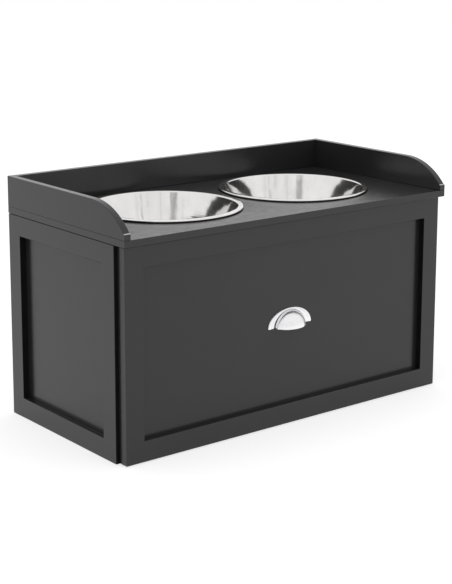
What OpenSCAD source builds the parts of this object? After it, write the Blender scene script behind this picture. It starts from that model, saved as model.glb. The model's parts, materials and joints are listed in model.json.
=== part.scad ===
// Raised pet feeder: a framed cabinet with one storage drawer and two lift-out steel bowls
// Millimetres, +Z up, origin on the floor under the middle of the whole feeder, front towards -Y

/* [Cabinet] */
// Width over the sides and the top board
body_w = 600; // [540:5:800]
// Depth of the top board, front edge to back edge
board_d = 300; // [292:2:400]
// Height from the floor to the top edge of the raised rail round the board
overall_h = 360; // [340:1:450]
// Thickness of the framed sides
side_t = 15; // [13:0.5:20]
// Thickness of the back panel, the bottom panel and the front stretcher
carcass_t = 12; // [12:0.5:16]
// Height of the bottom panel's underside above the floor
bottom_z = 9; // [6:1:14]
// Height of the stretcher under the front of the top board
stretcher_h = 34; // [30:1:40]

/* [Top board] */
// Thickness of the top board
board_t = 10; // [9:0.5:16]
// How far the top board stands forward of the drawer front
board_overhang = 8.2; // [4:0.2:16]
// How far the cabinet's rear is set in from the board's back edge
rear_inset = 1; // [0:0.5:6]
// Height of the raised rail above the board
rail_h = 45; // [30:1:70]
// Thickness of the raised rail
rail_t = 10; // [9:0.5:15]
// Radius of the sweep at the front of the side rails
sweep_r = 104; // [60:1:140]
// Height of the low nose that ends each side rail
nose_h = 9; // [4:1:14]
// Depth of the small flat on top of the nose
nose_flat = 2; // [1:0.2:6]

/* [Frames] */
// Width of the stiles and rails of the sides and of the drawer front
member_w = 30; // [26:1:45]
// Depth of the sunk panels behind the face of their frames
recess = 9.5; // [5:0.5:10]
// Width of the step in the frames that takes a sunk panel
rebate = 8; // [5:0.5:10]

/* [Drawer] */
// Thickness of the drawer front's frame
front_t = 17; // [15:0.5:22]
// How far the drawer front stops short of the cabinet's outer faces
front_inset = 5; // [2:0.5:8]
// Gap under the drawer front
floor_gap = 1; // [1:0.5:8]
// Gap between the drawer front and the top board
top_gap = 2; // [1:0.5:4]
// Gap between the closed drawer front and the cabinet's front edges
front_gap = 1; // [1:0.2:3]
// Thickness of the drawer box's boards
box_t = 12; // [10:0.5:15]
// Height of the drawer box's lower edge above the floor
box_z = 36; // [30:1:50]
// Height of the drawer box
box_h = 196; // [150:1:200]
// Room left behind the closed drawer box
box_rear_gap = 8; // [6:1:30]
// Thickness of the drawer's bottom
base_t = 4; // [3:0.5:6]

/* [Drawer runners] */
// Width of a runner between the cabinet and the drawer box
runner_w = 12.7; // [12.7:0.1:14]
// Height of the cabinet member of a runner
runner_h = 35; // [35:1:45]
// How far the drawer pulls out
travel = 214; // [150:1:216]
// Radius of the runner balls
ball_r = 1.5; // [1.4:0.05:1.6]
// Balls in each row
balls = 6; // [4:1:10]

/* [Bowls] */
// Outer radius of the bowl's rolled rim
rim_r = 116.5; // [95:0.5:118]
// Depth of the bowl below the top board
bowl_depth = 55; // [40:1:60]
// Thickness of the bowl's steel
steel_t = 0.8; // [0.6:0.1:1]
// Lean of the bowl's wall from upright, in degrees
wall_lean = 15; // [8:1:22]
// Radius of the curve between wall and floor
foot_r = 16; // [8:1:20]
// Gap between the two rims
bowl_gap = 15; // [10:1:40]
// Distance of the bowls' centres behind the board's front edge
bowl_set_back = 156; // [150:1:160]
// Clearance between the bowl's wall and its hole
hole_clear = 1; // [0.5:0.1:3]

/* [Cup pull] */
// Width of the cup pull
pull_w = 82; // [76:1:96]
// Height of the cup pull's plate
pull_h = 29; // [27:0.5:34]
// Height of the pull's lower edge above the floor
pull_z = 145; // [100:0.5:180]
// Radius of the half-round band round the pull
band_r = 3.6; // [3.4:0.1:3.8]
// Width of the hood
hood_w = 55; // [50:1:60]
// How far the hood stands out of the panel
hood_out = 20; // [18:0.5:21]
// Wall of the hood
hood_wall = 1.6; // [1.2:0.1:2.2]

/* [Hidden] */
$fn = 96;
charcoal = "#4a4b4d";
steel = "#c9cacc";
zinc = "#a9adb0";
chrome = "#e3e4e6";
timber = "#b79a6b";
black = "#232323";

// Clearances: fasteners in their holes, boards in their grooves, parts that move past each other
fastener_clear = 0.05;
groove_clear = 0.2;
move_clear = 0.3;

// How far a cutting shape runs past the surface that it opens
over = 1;

// Heights
side_h = overall_h - board_t - rail_h;
board_z1 = side_h + board_t;
front_h = side_h - floor_gap - top_gap;
stretcher_z = side_h - stretcher_h;

// Depths, counted back from the front of the whole feeder
pull_proud = max(0, hood_out - recess - board_overhang);
total_d = board_d + pull_proud;
board_y0 = total_d / 2 - board_d;
board_y1 = total_d / 2;
face_y = board_y0 + board_overhang;
panel_y = face_y + recess;
front_rear_y = face_y + front_t;
side_y0 = front_rear_y + front_gap;
side_y1 = board_y1 - rear_inset;
side_d = side_y1 - side_y0;
back_y = side_y1 - carcass_t;
stretcher_setback = 2;
stretcher_y = side_y0 + stretcher_setback;
stretcher_rear_y = stretcher_y + carcass_t;

// Widths, all given for the left half
inner_x = -(body_w / 2 - side_t);
front_w = body_w - 2 * front_inset;
box_x = inner_x + runner_w;
box_inner_x = box_x + box_t;
box_inner_w = -2 * box_inner_x;

// Drawer box
box_y = front_rear_y;
box_d = back_y - box_rear_gap - box_y;
box_rear_y = box_y + box_d;
base_set_up = 8;
base_z = box_z + base_set_up;
groove_depth = 5;

// Knock-down fittings
dowel_r = 4;
dowel_len = 30;
dowel_in_side = 10;
frame_dowel_r = 3;
frame_dowel_len = 24;
cam_r = 7.5;
cam_h = 10;
cam_set_in = 24;
cam_bore_r = 3.6;
cam_slot_w = 2;
cam_slot_l = 10;
cam_slot_depth = 1.5;
bolt_thread_r = 3;
bolt_thread_len = 11;
bolt_shank_r = 2.5;
bolt_neck_r = 1.8;
bolt_head_r = 3.2;
bolt_head_len = 4;
bolt_neck_len = 4;
fitting_pitch = 32;
fitting_inset = 60;

bottom_mid_z = bottom_z + carcass_t / 2;
back_mid_y = back_y + carcass_t / 2;
stretcher_mid_y = stretcher_y + carcass_t / 2;
stretcher_cam_below = 11;
stretcher_dowel_above = 8;
stretcher_cam_z = side_h - stretcher_cam_below;
stretcher_dowel_z = stretcher_z + stretcher_dowel_above;

// Each cam: [y, z] of its pocket's mouth, turn of its axis, [y, z] of its bolt
bottom_cam_ys = [side_y0 + fitting_inset, back_y - fitting_inset];
back_cam_zs = [bottom_z + fitting_inset, side_h - fitting_inset];
cam_places = [
    for (y = bottom_cam_ys) [[y, bottom_z], [0, 0, 0], [y, bottom_mid_z]],
    for (z = back_cam_zs) [[back_y, z], [-90, 0, 0], [back_mid_y, z]],
    [[stretcher_rear_y, stretcher_cam_z], [90, 0, 0], [stretcher_mid_y, stretcher_cam_z]]
];
// Each dowel between a side and a board: [y, z]
dowel_places = [
    [bottom_cam_ys[0] + fitting_pitch, bottom_mid_z],
    [bottom_cam_ys[1] - fitting_pitch, bottom_mid_z],
    [back_mid_y, back_cam_zs[0] + fitting_pitch],
    [back_mid_y, back_cam_zs[1] - fitting_pitch],
    [stretcher_mid_y, stretcher_dowel_z]
];

// Screws: shank, countersunk head and pan head
screw_r = 1.6;
csk_r = 3.2;
csk_h = 2;
pan_r = 3.2;
pan_h = 1.8;

// Corner brackets under the board
bracket_leg = 22;
bracket_w = 20;
bracket_t = 2;
bracket_hole_at = 13;
bracket_screw_len = 8;
bracket_side_ys = [side_y0 + fitting_inset, back_y - fitting_inset];
bracket_places = [
    for (y = bracket_side_ys) [[inner_x, y], 0],
    for (y = bracket_side_ys) [[-inner_x, y], 180],
    [[0, stretcher_rear_y], 90],
    [[0, back_y], -90]
];

// Screws up through the board into the raised rail
rail_screw_rise = 22;
rail_screw_sink = 0.3;
rail_screw_inset = 40;
side_rail_x = -(body_w - rail_t) / 2;
side_rail_screw_ys = [board_y0 + 2 * rail_screw_inset, board_y1 - rail_screw_inset];
back_rail_half = body_w / 2 - rail_t;
back_rail_screws = 4;
back_rail_pitch = 2 * (back_rail_half - rail_screw_inset) / (back_rail_screws - 1);
rail_screw_places = [
    for (y = side_rail_screw_ys) [side_rail_x, y],
    for (y = side_rail_screw_ys) [-side_rail_x, y],
    for (i = [0 : back_rail_screws - 1])
        [-back_rail_half + rail_screw_inset + i * back_rail_pitch, board_y1 - rail_t / 2]
];

// Sweep of the side rails, tangent to their top edge
sweep_z = overall_h - sweep_r;
sweep_y = board_y0 + nose_flat + sqrt(pow(sweep_r, 2) - pow(board_z1 + nose_h - sweep_z, 2));

// Runners: three members of bent sheet, with two rows of balls between each pair
sheet = 1.2;
race_gap = 2.4;
race_clear = 0.07;
cage_t = 0.5;
cage_len = 108;
cage_end = 8;
runner_setback = 2;
runner_y = side_y0 + runner_setback;
runner_len = box_rear_y - runner_y;
runner_z = box_z + box_h / 2;
cab_z1 = runner_h / 2;
mid_z1 = cab_z1 - sheet - race_gap;
box_z1 = mid_z1 - sheet - race_gap;
outer_ball_z = cab_z1 - sheet - race_gap / 2;
inner_ball_z = mid_z1 - sheet - race_gap / 2;
mid_web_s = 2.6;
cab_lip_s = 9.5;
mid_lip_s = 10.6;
box_web_s = runner_w - sheet;
box_lip_s = 4.9;
outer_ball_s = 6.2;
inner_ball_s = 8;
outer_cage_s = 1.65;
inner_cage_s = 4.1;
outer_cage_lip_s = 8.7;
inner_cage_lip_s = 10.3;
cage_y = runner_y + travel / 4 + cage_end;
ball_pitch = (cage_len - 2 * cage_end) / (balls - 1);
runner_screw_len = 11;
cab_screw_ys = [side_y0 + member_w / 2, side_y1 - member_w + rebate / 2];
box_screw_inset = 24;
box_screw_short = 2;
box_screw_ys = [
    runner_y + box_screw_inset,
    runner_y + runner_len / 2,
    runner_y + runner_len - box_screw_inset
];

// Drawer box fixings
corner_screw_len = 36;
corner_screw_inset = 30;
corner_screw_zs = [box_z + corner_screw_inset, box_z + box_h - corner_screw_inset];
front_screw_bite = 5.5;
front_screw_len = box_t + front_screw_bite;
front_screw_inset = 30;
front_screw_zs = [box_z + front_screw_inset, box_z + box_h - front_screw_inset];
front_screw_xs = [-1, 1] * (-box_inner_x - front_screw_inset);
bumper_r = 4;
bumper_t = front_gap - move_clear;
bumper_zs = [floor_gap + member_w / 2, floor_gap + front_h - member_w / 2];

// Bowls: heights are counted from the top board, with the rim lying on it
rim_bead_r = 1.6;
lip_r = 2.6;
rim_top = 2 * rim_bead_r;
bead_r0 = rim_r - rim_bead_r;
rim_w = 7;
lip_r0 = rim_r - rim_w;
floor_z = -bowl_depth + steel_t;
foot_r0 = lip_r0 + ((floor_z + foot_r - rim_top + lip_r) * sin(wall_lean) - foot_r - lip_r)
    / cos(wall_lean);
dish_r = 52;
dish_ramp = 5;
dish_rise = 2;
bead_end = -150;
foot_steps = 12;
lip_steps = 8;
bead_steps = 20;
bowl_x = -(rim_r + bowl_gap / 2);
bowl_y = board_y0 + bowl_set_back;
hole_r = lip_r0 - lip_r * cos(wall_lean) + steel_t + hole_clear;

// Cup pull: the band follows one arc, and the hood's outline is an arch of three arcs
plate_t = 1.6;
plate_lift = 0.8;
pull_arc_r = band_arc_r(pull_w / 2, pull_h - band_r);
pull_pitch = 70;
hood_end_r = 12.5;
hood_foot = 2;
pull_screw_r = 2;
pull_thread = 2.8;
pull_head_r = 3.8;
pull_head_h = 2.4;

// Shared helpers

// A round bar along X, starting at a point
module bar_x(at, len, r) {
    translate(at)
        rotate([0, 90, 0])
            cylinder(r = r, h = len);
}

// A round bar along Y, starting at a point
module bar_y(at, len, r) {
    translate(at)
        rotate([-90, 0, 0])
            cylinder(r = r, h = len);
}

// The left half's pieces and their mirror images on the right
module both_sides() {
    children();
    mirror([1, 0, 0])
        children();
}

// A countersunk screw: flat head up at z = 0, tip down; its hole is the same, grown
module csk_screw(len, r, head_r, head_h, grow) {
    translate([0, 0, -head_h])
        cylinder(r1 = r + grow, r2 = head_r + grow, h = head_h);
    translate([0, 0, -len - grow])
        cylinder(r = r + grow, h = len + grow - head_h);
    if (grow > 0)
        cylinder(r = head_r + grow, h = grow);
}

// A pan-head screw: the head stands above z = 0, the shank goes down
module pan_screw(len, r, head_r, head_h) {
    cylinder(r = head_r, h = head_h);
    translate([0, 0, -len])
        cylinder(r = r, h = len);
}

// Frame and panel work, drawn with its face at y = 0, its left edge at x = 0 and its foot at z = 0

module stile(h, t) {
    difference() {
        cube([member_w, t, h]);
        translate([member_w - rebate, recess, -over])
            cube([rebate + over, t - recess + over, h + 2 * over]);
    }
}

module cross_rail(w, t) {
    translate([member_w, 0, 0])
        cube([w - 2 * member_w, recess, member_w]);
    translate([member_w - rebate, recess, 0])
        cube([w - 2 * (member_w - rebate), t - recess, member_w - rebate]);
}

module sunk_panel(w, h, t) {
    edge = member_w - rebate;
    translate([edge, recess, edge])
        cube([w - 2 * edge, t - recess, h - 2 * edge]);
}

// Dowels through the four corners of a frame, or their holes
module corner_dowels(w, h, grow) {
    len = frame_dowel_len + 2 * grow;
    for (x = [member_w, w - member_w], z = [member_w / 2, h - member_w / 2])
        bar_x([x - len / 2, recess / 2, z], len, frame_dowel_r + grow);
}

// Left side of the cabinet

// Turns frame work so that its face is the cabinet's left face and its left edge is the rear
module on_left_side() {
    translate([-body_w / 2, side_y1, 0])
        rotate([0, 0, -90])
            children();
}

// Every hole that enters the left side from the inside
module side_holes() {
    for (place = cam_places) {
        at = place[2];
        bar_x([inner_x - bolt_thread_len - fastener_clear, at[0], at[1]],
            bolt_thread_len + over, bolt_thread_r + fastener_clear);
    }
    for (at = dowel_places)
        bar_x([inner_x - dowel_in_side - fastener_clear, at[0], at[1]],
            dowel_in_side + over, dowel_r + fastener_clear);
    for (y = bracket_side_ys)
        bar_x([inner_x - bracket_screw_len, y, side_h - bracket_hole_at],
            bracket_screw_len + over, screw_r + fastener_clear);
    for (y = cab_screw_ys)
        bar_x([inner_x - runner_screw_len, y, runner_z],
            runner_screw_len + over, screw_r + fastener_clear);
}

module side_member() {
    color(charcoal)
        difference() {
            on_left_side()
                difference() {
                    children();
                    corner_dowels(side_d, side_h, fastener_clear);
                }
            side_holes();
        }
}

module side_front_stile() {
    side_member()
        translate([side_d, 0, 0])
            mirror([1, 0, 0])
                stile(side_h, side_t);
}

module side_rear_stile() {
    side_member()
        stile(side_h, side_t);
}

module side_bottom_rail() {
    side_member()
        cross_rail(side_d, side_t);
}

module side_top_rail() {
    side_member()
        translate([0, 0, side_h])
            mirror([0, 0, 1])
                cross_rail(side_d, side_t);
}

module side_panel() {
    color(charcoal)
        difference() {
            on_left_side()
                sunk_panel(side_d, side_h, side_t);
            side_holes();
        }
}

module side_frame_dowels() {
    color(timber)
        both_sides()
            on_left_side()
                corner_dowels(side_d, side_h, 0);
}

// Knock-down fittings between the sides and the boards

module board_holes() {
    both_sides() {
        for (place = cam_places) {
            mouth = place[0];
            at = place[2];
            translate([inner_x + cam_set_in, mouth[0], mouth[1]])
                rotate(place[1])
                    translate([0, 0, -over])
                        cylinder(r = cam_r + fastener_clear, h = cam_h + fastener_clear + over);
            bar_x([inner_x - over, at[0], at[1]], cam_set_in + over, cam_bore_r);
        }
        for (at = dowel_places)
            bar_x([inner_x - over, at[0], at[1]],
                dowel_len - dowel_in_side + fastener_clear + over, dowel_r + fastener_clear);
    }
}

module board_dowels() {
    color(timber)
        both_sides()
            for (at = dowel_places)
                bar_x([inner_x - dowel_in_side, at[0], at[1]], dowel_len, dowel_r);
}

// A bolt whose head lies in the middle of its cam
module cam_bolt(at) {
    head_x = inner_x + cam_set_in - bolt_head_len / 2;
    neck_x = head_x - bolt_neck_len;
    bar_x([inner_x - bolt_thread_len, at[0], at[1]], bolt_thread_len, bolt_thread_r);
    bar_x([inner_x, at[0], at[1]], neck_x - inner_x, bolt_shank_r);
    bar_x([neck_x, at[0], at[1]], bolt_neck_len, bolt_neck_r);
    bar_x([head_x, at[0], at[1]], bolt_head_len, bolt_head_r);
}

module cam_bolts() {
    color(zinc)
        both_sides()
            for (place = cam_places)
                cam_bolt(place[2]);
}

// A cam drum with the bore that takes the bolt's head and a cross slot in its face
module cam_drum(place) {
    mouth = place[0];
    at = place[2];
    difference() {
        translate([inner_x + cam_set_in, mouth[0], mouth[1]])
            rotate(place[1])
                difference() {
                    cylinder(r = cam_r, h = cam_h);
                    for (turn = [0, 90])
                        rotate([0, 0, turn])
                            translate([-cam_slot_l / 2, -cam_slot_w / 2, -over])
                                cube([cam_slot_l, cam_slot_w, cam_slot_depth + over]);
                }
        bar_x([inner_x, at[0], at[1]], cam_set_in + bolt_head_len, cam_bore_r);
    }
}

module cam_locks() {
    color(zinc)
        both_sides()
            for (place = cam_places)
                cam_drum(place);
}

// Boards of the cabinet

module back_panel() {
    color(charcoal)
        difference() {
            translate([inner_x, back_y, bottom_z])
                cube([-2 * inner_x, carcass_t, side_h - bottom_z]);
            board_holes();
            bracket_screw_holes();
        }
}

module bottom_panel() {
    color(charcoal)
        difference() {
            translate([inner_x, side_y0, bottom_z])
                cube([-2 * inner_x, back_y - side_y0, carcass_t]);
            board_holes();
        }
}

module front_stretcher() {
    color(charcoal)
        difference() {
            translate([inner_x, stretcher_y, stretcher_z])
                cube([-2 * inner_x, carcass_t, stretcher_h]);
            board_holes();
            bracket_screw_holes();
        }
}

// Corner brackets: one leg on an upright board, one under the top board

module bracket_shape() {
    difference() {
        union() {
            translate([0, -bracket_w / 2, side_h - bracket_leg])
                cube([bracket_t, bracket_w, bracket_leg]);
            translate([0, -bracket_w / 2, side_h - bracket_t])
                cube([bracket_leg, bracket_w, bracket_t]);
        }
        bar_x([-over, 0, side_h - bracket_hole_at], bracket_t + 2 * over, screw_r + fastener_clear);
        translate([bracket_hole_at, 0, side_h - bracket_t - over])
            cylinder(r = screw_r + fastener_clear, h = bracket_t + 2 * over);
    }
}

module at_brackets() {
    for (place = bracket_places)
        translate([place[0][0], place[0][1], 0])
            rotate([0, 0, place[1]])
                children();
}

// The two screws of a bracket, or their holes in the boards
module bracket_screw_pair(grow) {
    len = bracket_screw_len + bracket_t;
    translate([bracket_t, 0, side_h - bracket_hole_at])
        rotate([0, 90, 0])
            pan_screw(len, screw_r + grow, pan_r, pan_h);
    translate([bracket_hole_at, 0, side_h - bracket_t])
        rotate([180, 0, 0])
            pan_screw(len, screw_r + grow, pan_r, pan_h);
}

module bracket_screw_holes() {
    at_brackets()
        bracket_screw_pair(fastener_clear);
}

module corner_brackets() {
    color(zinc)
        at_brackets()
            bracket_shape();
}

module bracket_screws() {
    color(zinc)
        at_brackets()
            bracket_screw_pair(0);
}

// Top board and the raised rail round its left, back and right

module top_board() {
    color(charcoal)
        difference() {
            translate([-body_w / 2, board_y0, side_h])
                cube([body_w, board_d, board_t]);
            both_sides()
                translate([bowl_x, bowl_y, side_h - over])
                    cylinder(r = hole_r, h = board_t + 2 * over);
            rail_screw_set(fastener_clear);
            bracket_screw_holes();
        }
}

// Side rail outline: straight top, swept front, low nose flush with the board's edge
module rail_outline() {
    rear = board_y1 - board_y0;
    sweep_at = sweep_y - board_y0;
    translate([sweep_at, 0])
        square([rear - sweep_at, rail_h]);
    square([sweep_at, nose_h]);
    intersection() {
        translate([sweep_at, sweep_z - board_z1])
            circle(r = sweep_r);
        translate([0, nose_h - over])
            square([sweep_at, rail_h - nose_h + over]);
    }
}

module side_rail() {
    color(charcoal)
        difference() {
            translate([-body_w / 2, board_y0, board_z1])
                rotate([90, 0, 90])
                    linear_extrude(rail_t)
                        rail_outline();
            rail_screw_set(fastener_clear);
        }
}

module back_rail() {
    color(charcoal)
        difference() {
            translate([-back_rail_half, board_y1 - rail_t, board_z1])
                cube([2 * back_rail_half, rail_t, rail_h]);
            rail_screw_set(fastener_clear);
        }
}

module rail_screw_set(grow) {
    for (at = rail_screw_places)
        translate([at[0], at[1], side_h + rail_screw_sink])
            rotate([180, 0, 0]) {
                csk_screw(board_t - rail_screw_sink + rail_screw_rise, screw_r, csk_r, csk_h, grow);
                if (grow > 0)
                    cylinder(r = csk_r + grow, h = rail_screw_sink + grow);
            }
}

module rail_screws() {
    color(zinc)
        rail_screw_set(0);
}

// Drawer runners: cross-sections have x from the cabinet's side to the drawer and y upwards

module channel(web_s, lip_s, half_h) {
    translate([min(web_s, lip_s), 0])
        difference() {
            translate([0, -half_h])
                square([abs(lip_s - web_s), 2 * half_h]);
            translate([web_s < lip_s ? sheet : -sheet, sheet - half_h])
                square([abs(lip_s - web_s), 2 * (half_h - sheet)]);
        }
}

module race(ball_s, ball_z) {
    for (z = [-ball_z, ball_z])
        translate([ball_s, z])
            circle(r = ball_r + race_clear);
}

// Stretches a cross-section along a runner's length, on the left side
module along_runner(y, len) {
    translate([inner_x, y + len, runner_z])
        rotate([90, 0, 0])
            linear_extrude(len)
                children();
}

module cabinet_runner() {
    color(zinc)
        difference() {
            along_runner(runner_y, runner_len)
                difference() {
                    channel(0, cab_lip_s, cab_z1);
                    race(outer_ball_s, outer_ball_z);
                }
            cabinet_screw_set(fastener_clear);
        }
}

module middle_runner() {
    color(zinc)
        along_runner(runner_y, runner_len)
            difference() {
                channel(mid_web_s, mid_lip_s, mid_z1);
                race(outer_ball_s, outer_ball_z);
                race(inner_ball_s, inner_ball_z);
            }
}

module drawer_runner() {
    color(zinc)
        difference() {
            along_runner(runner_y, runner_len)
                difference() {
                    channel(runner_w, box_lip_s, box_z1);
                    race(inner_ball_s, inner_ball_z);
                }
            drawer_runner_screw_set(fastener_clear);
        }
}

// A cage: a thin channel with a hole round each ball
module ball_cage(web_s, lip_s, ball_s, ball_z) {
    half_h = ball_z + cage_t / 2;
    difference() {
        along_runner(cage_y, cage_len)
            difference() {
                translate([web_s, -half_h])
                    square([lip_s - web_s, 2 * half_h]);
                translate([web_s + cage_t, cage_t - half_h])
                    square([lip_s, 2 * (half_h - cage_t)]);
            }
        for (i = [0 : balls - 1])
            translate([inner_x + ball_s, cage_y + cage_end + i * ball_pitch, runner_z - half_h - over])
                cylinder(r = ball_r + race_clear, h = 2 * (half_h + over));
    }
}

module ball_rows(ball_s, ball_z) {
    for (i = [0 : balls - 1], z = [-ball_z, ball_z])
        translate([inner_x + ball_s, cage_y + cage_end + i * ball_pitch, runner_z + z])
            sphere(r = ball_r);
}

module outer_ball_cages() {
    color(steel)
        both_sides()
            ball_cage(outer_cage_s, outer_cage_lip_s, outer_ball_s, outer_ball_z);
}

module inner_ball_cages() {
    color(steel)
        both_sides()
            ball_cage(inner_cage_s, inner_cage_lip_s, inner_ball_s, inner_ball_z);
}

module outer_balls() {
    color(steel)
        both_sides()
            ball_rows(outer_ball_s, outer_ball_z);
}

module inner_balls() {
    color(steel)
        both_sides()
            ball_rows(inner_ball_s, inner_ball_z);
}

// Screws from a cabinet runner into the side, flush with the runner's web
module cabinet_screw_set(grow) {
    for (y = cab_screw_ys)
        translate([inner_x + sheet, y, runner_z])
            rotate([0, 90, 0])
                csk_screw(sheet + runner_screw_len - fastener_clear, screw_r, csk_r, sheet, grow);
}

// Screws from a drawer runner into the drawer box
module drawer_runner_screw_set(grow) {
    for (y = box_screw_ys)
        translate([inner_x + box_web_s, y, runner_z])
            rotate([0, -90, 0])
                pan_screw(sheet + box_t - box_screw_short, screw_r + grow, pan_r, pan_h);
}

module cabinet_runner_screws() {
    color(zinc)
        both_sides()
            cabinet_screw_set(0);
}

module drawer_runner_screws() {
    color(zinc)
        both_sides()
            drawer_runner_screw_set(0);
}

// Drawer front

module on_front() {
    translate([-front_w / 2, face_y, floor_gap])
        children();
}

module front_member() {
    color(charcoal)
        on_front()
            difference() {
                children();
                corner_dowels(front_w, front_h, fastener_clear);
            }
}

module front_left_stile() {
    front_member()
        stile(front_h, front_t);
}

module front_right_stile() {
    front_member()
        translate([front_w, 0, 0])
            mirror([1, 0, 0])
                stile(front_h, front_t);
}

module front_bottom_rail() {
    front_member()
        cross_rail(front_w, front_t);
}

module front_top_rail() {
    front_member()
        translate([0, 0, front_h])
            mirror([0, 0, 1])
                cross_rail(front_w, front_t);
}

module front_panel() {
    color(charcoal)
        difference() {
            on_front()
                sunk_panel(front_w, front_h, front_t);
            front_screw_set(fastener_clear);
            pull_screw_set(fastener_clear);
        }
}

module front_frame_dowels() {
    color(timber)
        on_front()
            corner_dowels(front_w, front_h, 0);
}

// Soft stops between the drawer front and the cabinet's front edges
module drawer_bumpers() {
    color(black)
        both_sides()
            for (z = bumper_zs)
                bar_y([-(front_w + body_w) / 4 + side_t / 2, front_rear_y, z], bumper_t, bumper_r);
}

// Drawer box

// The groove that holds the drawer's base, as one slab through all four boards
module base_groove() {
    reach = groove_depth + groove_clear;
    translate([box_inner_x - reach, box_y + box_t - reach, base_z])
        cube([box_inner_w + 2 * reach, box_d - 2 * box_t + 2 * reach, base_t + groove_clear]);
}

module corner_screw_set(grow) {
    for (y = [box_y + box_t / 2, box_rear_y - box_t / 2], z = corner_screw_zs)
        translate([box_x, y, z])
            rotate([0, -90, 0])
                csk_screw(corner_screw_len, screw_r, csk_r, csk_h, grow);
}

// Screws from inside the drawer box into the front's panel
module front_screw_set(grow) {
    for (x = front_screw_xs, z = front_screw_zs)
        translate([x, box_y + box_t, z])
            rotate([-90, 0, 0])
                pan_screw(front_screw_len + grow, screw_r + grow, pan_r, pan_h);
}

module box_side() {
    color(charcoal)
        difference() {
            translate([box_x, box_y, box_z])
                cube([box_t, box_d, box_h]);
            base_groove();
            corner_screw_set(fastener_clear);
            drawer_runner_screw_set(fastener_clear);
        }
}

module box_end(y) {
    difference() {
        translate([box_inner_x, y, box_z])
            cube([box_inner_w, box_t, box_h]);
        base_groove();
        both_sides()
            corner_screw_set(fastener_clear);
    }
}

module drawer_inner_front() {
    color(charcoal)
        difference() {
            box_end(box_y);
            front_screw_set(fastener_clear);
            pull_screw_set(fastener_clear);
        }
}

module drawer_back() {
    color(charcoal)
        box_end(box_rear_y - box_t);
}

module drawer_base() {
    color(charcoal)
        translate([box_inner_x - groove_depth, box_y + box_t - groove_depth, base_z])
            cube([box_inner_w + 2 * groove_depth, box_d - 2 * (box_t - groove_depth), base_t]);
}

module drawer_box_screws() {
    color(zinc)
        both_sides()
            corner_screw_set(0);
}

module front_fixing_screws() {
    color(zinc)
        front_screw_set(0);
}

// Cup pull, drawn flat with its lower edge on the X axis and its hood standing up Z

// How far the top arc's centre of an arch lies below its springing line
function arch_drop(a, b, end_r) = (pow(a - end_r, 2) - pow(b - end_r, 2)) / (2 * (b - end_r));

// Radius of the arc through (-a, 0), (0, b) and (a, 0)
function band_arc_r(a, b) = (a * a + b * b) / (2 * b);

module arch(a, b, end_r) {
    drop = arch_drop(a, b, end_r);
    top_r = b + drop;
    reach = 2 * top_r / norm([a - end_r, drop]);
    intersection() {
        union() {
            for (side = [-1, 1])
                translate([side * (a - end_r), 0])
                    circle(r = end_r);
            intersection() {
                translate([0, -drop])
                    circle(r = top_r);
                polygon([
                    [0, -drop],
                    [reach * (a - end_r), (reach - 1) * drop],
                    [-reach * (a - end_r), (reach - 1) * drop]
                ]);
            }
        }
        translate([-a - over, 0])
            square([2 * (a + over), b + over]);
    }
}

// Half-round band along one arc through (-a, 0), (0, b) and (a, 0), with round ends
module band_arc(a, b, r) {
    arc_r = band_arc_r(a, b);
    half_turn = asin(a / arc_r);
    translate([0, b - arc_r, 0]) {
        rotate([0, 0, 90 - half_turn])
            rotate_extrude(angle = 2 * half_turn)
                translate([arc_r - r, 0])
                    half_disc(r);
        for (side = [0, 1])
            mirror([side, 0, 0])
                rotate([0, 0, 90 - half_turn])
                    translate([arc_r - r, 0, 0])
                        rotate([90, 0, 0])
                            rotate_extrude(angle = 180)
                                quarter_disc(r);
    }
}

module half_disc(r) {
    intersection() {
        circle(r = r);
        translate([-r - over, 0])
            square([2 * (r + over), r + over]);
    }
}

module quarter_disc(r) {
    intersection() {
        circle(r = r);
        square(r + over);
    }
}

// A hood turned about the X axis: an arch on a short upright foot
module hood_shape(a, b, end_r, sweep) {
    rotate(a = 120, v = [1, 1, 1])
        rotate_extrude(angle = sweep)
            rotate(-90) {
                translate([0, hood_foot])
                    arch(a, b - hood_foot, end_r);
                translate([-a, 0])
                    square([2 * a, hood_foot]);
            }
}

module cup_pull_flat() {
    difference() {
        union() {
            linear_extrude(plate_t)
                intersection() {
                    translate([0, pull_h - pull_arc_r])
                        circle(r = pull_arc_r - band_r);
                    translate([-pull_w, plate_lift])
                        square([2 * pull_w, pull_h]);
                }
            translate([0, band_r, 0])
                band_arc(pull_w / 2, pull_h - band_r, band_r);
            hood_shape(hood_w / 2, hood_out, hood_end_r, 90);
        }
        hood_shape(hood_w / 2 - hood_wall, hood_out - hood_wall, hood_end_r - hood_wall, 360);
        pull_screw_flat(fastener_clear);
    }
}

// A screw under each end of the band, or its hole
module pull_screw_flat(grow) {
    arm = pull_arc_r - band_r;
    back = front_t - recess + box_t;
    at_y = pull_h - pull_arc_r + sqrt(pow(arm, 2) - pow(pull_pitch / 2, 2));
    for (side = [-1, 1])
        translate([side * pull_pitch / 2, at_y, -back])
            rotate([180, 0, 0])
                pan_screw(back + pull_thread + grow, pull_screw_r + grow, pull_head_r, pull_head_h);
}

module on_panel() {
    translate([0, panel_y, pull_z])
        rotate([90, 0, 0])
            children();
}

module pull_screw_set(grow) {
    on_panel()
        pull_screw_flat(grow);
}

module cup_pull() {
    color(chrome)
        on_panel()
            cup_pull_flat();
}

module cup_pull_screws() {
    color(zinc)
        pull_screw_set(0);
}

// Bowls

function arc_points(cx, cz, r, from, to, steps) = [
    for (i = [0 : steps])
        let (turn = from + (to - from) * i / steps)
            [cx + r * cos(turn), cz + r * sin(turn)]
];

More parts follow.
